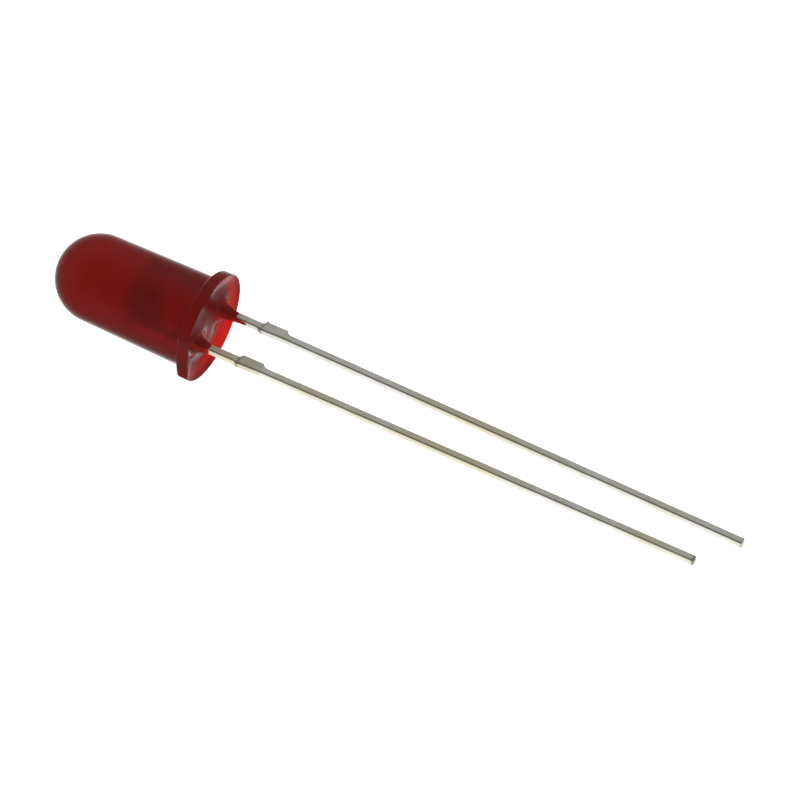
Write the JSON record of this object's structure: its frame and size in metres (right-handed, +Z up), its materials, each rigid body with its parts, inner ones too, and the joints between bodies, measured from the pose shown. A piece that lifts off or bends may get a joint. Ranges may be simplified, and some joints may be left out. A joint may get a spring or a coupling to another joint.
{
  "type": "through hole led",
  "caption": "Red tinted round LED with a domed lens, a flange with a cathode flat and two long square leads of unequal length.",
  "frame": {"origin": "on the surface that the part lies on, under the centre of its bounding box", "axes": "+X from the dome towards the lead tips, along the ground under the lens axis; +Y from the cathode to the anode; +Z up. The part lies at rest on the edge of its flange and both lead tips, with its lens axis sloping down 5.4 degrees towards the tips."},
  "size_m": [0.0388, 0.0056, 0.0059],
  "materials": {
    "lens": "cast epoxy resin tinted deep red, glossy from the mould, dim light passes through",
    "lead": "tin plated mild steel, drawn streaks, slightly dull",
    "die": "dark semiconductor crystal with a polished top",
    "die_attach": "silver filled resin",
    "gold": "plain gold"
  },
  "bodies": {
    "root": {"epoxy_lens": "lens", "cathode_lead": "lead", "anode_lead": "lead", "led_die": "die", "die_attach": "die_attach", "top_contact": "gold", "bond_wire": "gold"}
  },
  "joints": []
}
